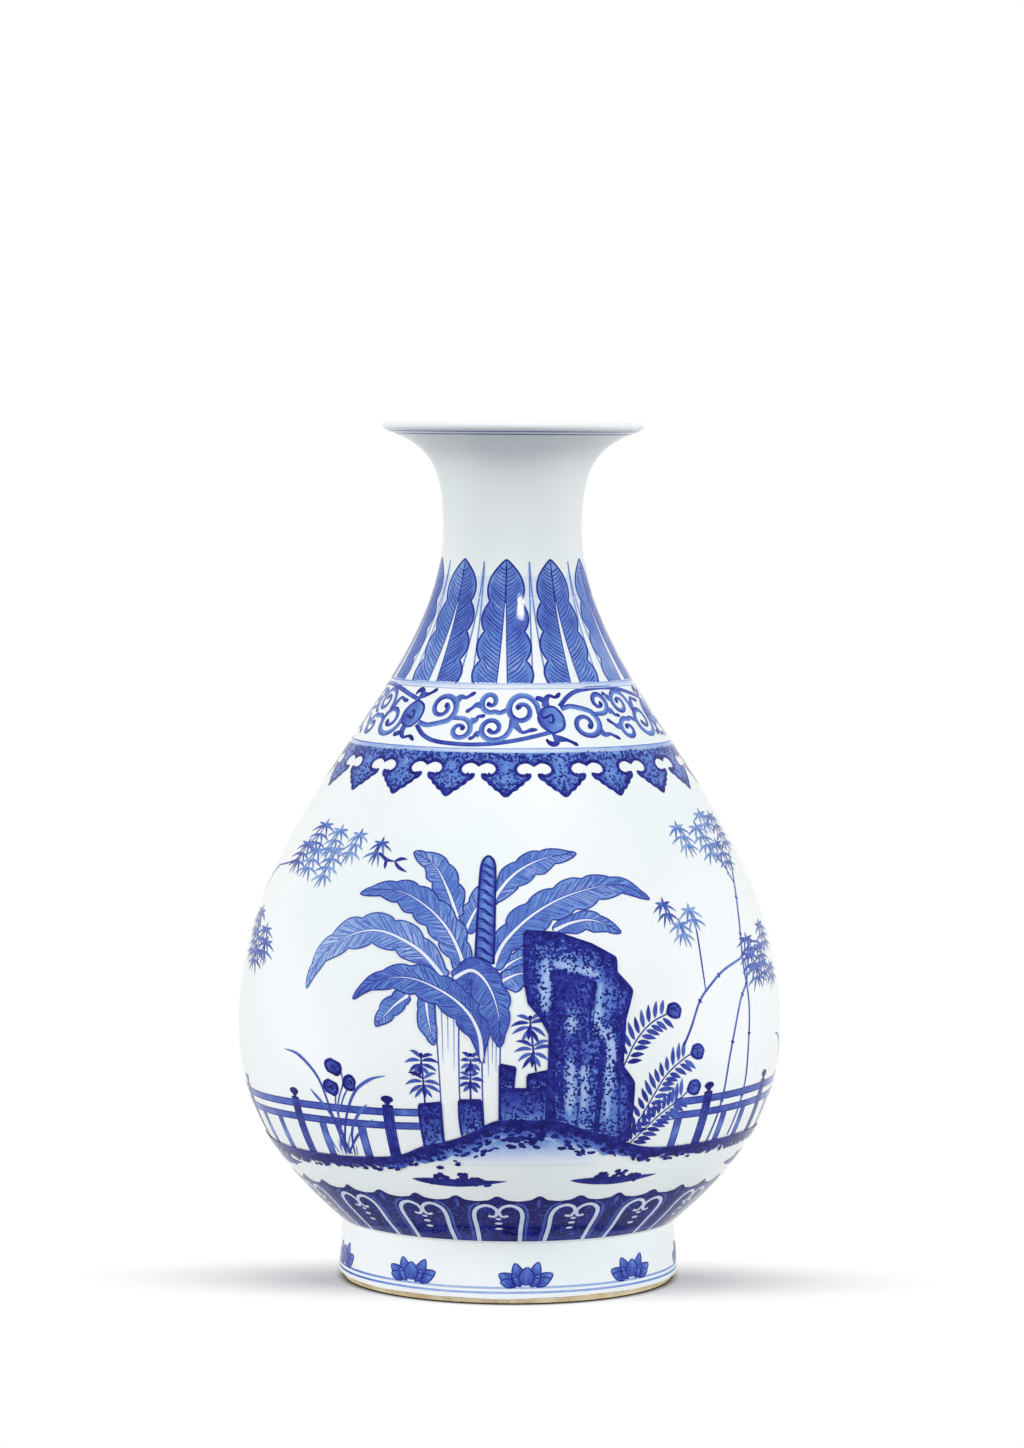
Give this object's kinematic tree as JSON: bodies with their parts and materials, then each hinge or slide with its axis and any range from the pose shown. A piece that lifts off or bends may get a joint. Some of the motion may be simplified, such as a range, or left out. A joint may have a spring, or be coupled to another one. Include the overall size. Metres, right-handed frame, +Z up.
{
  "type": "pear-shaped bottle vase",
  "caption": "Porcelain vase of yuhuchunping form: trumpet mouth, slim neck, drooping pear belly and foot ring, underglaze blue garden scene and leaf, scroll and lappet bands. Holds flowers.",
  "frame": {"origin": "centre of the standing rim, on the surface that the vase stands on", "axes": "+Z up along the axis of the vase; -Y is the side of the decoration with the plantain and the rock"},
  "size_m": [0.1842, 0.1842, 0.29],
  "materials": {
    "biscuit": "bare fired porcelain, matt and slightly sandy",
    "slip": "fired clay slip, matt",
    "glaze": "clear blue-white porcelain glaze, glossy"
  },
  "bodies": {
    "root": {"mouth_and_neck": "biscuit", "upper_body": "biscuit", "lower_body": "biscuit", "foot_ring": "biscuit", "neck_slip_seam": "slip", "belly_slip_seam": "slip", "foot_slip_seam": "slip", "outer_glaze": "glaze", "inner_glaze": "glaze", "base_glaze": "glaze"}
  },
  "joints": []
}
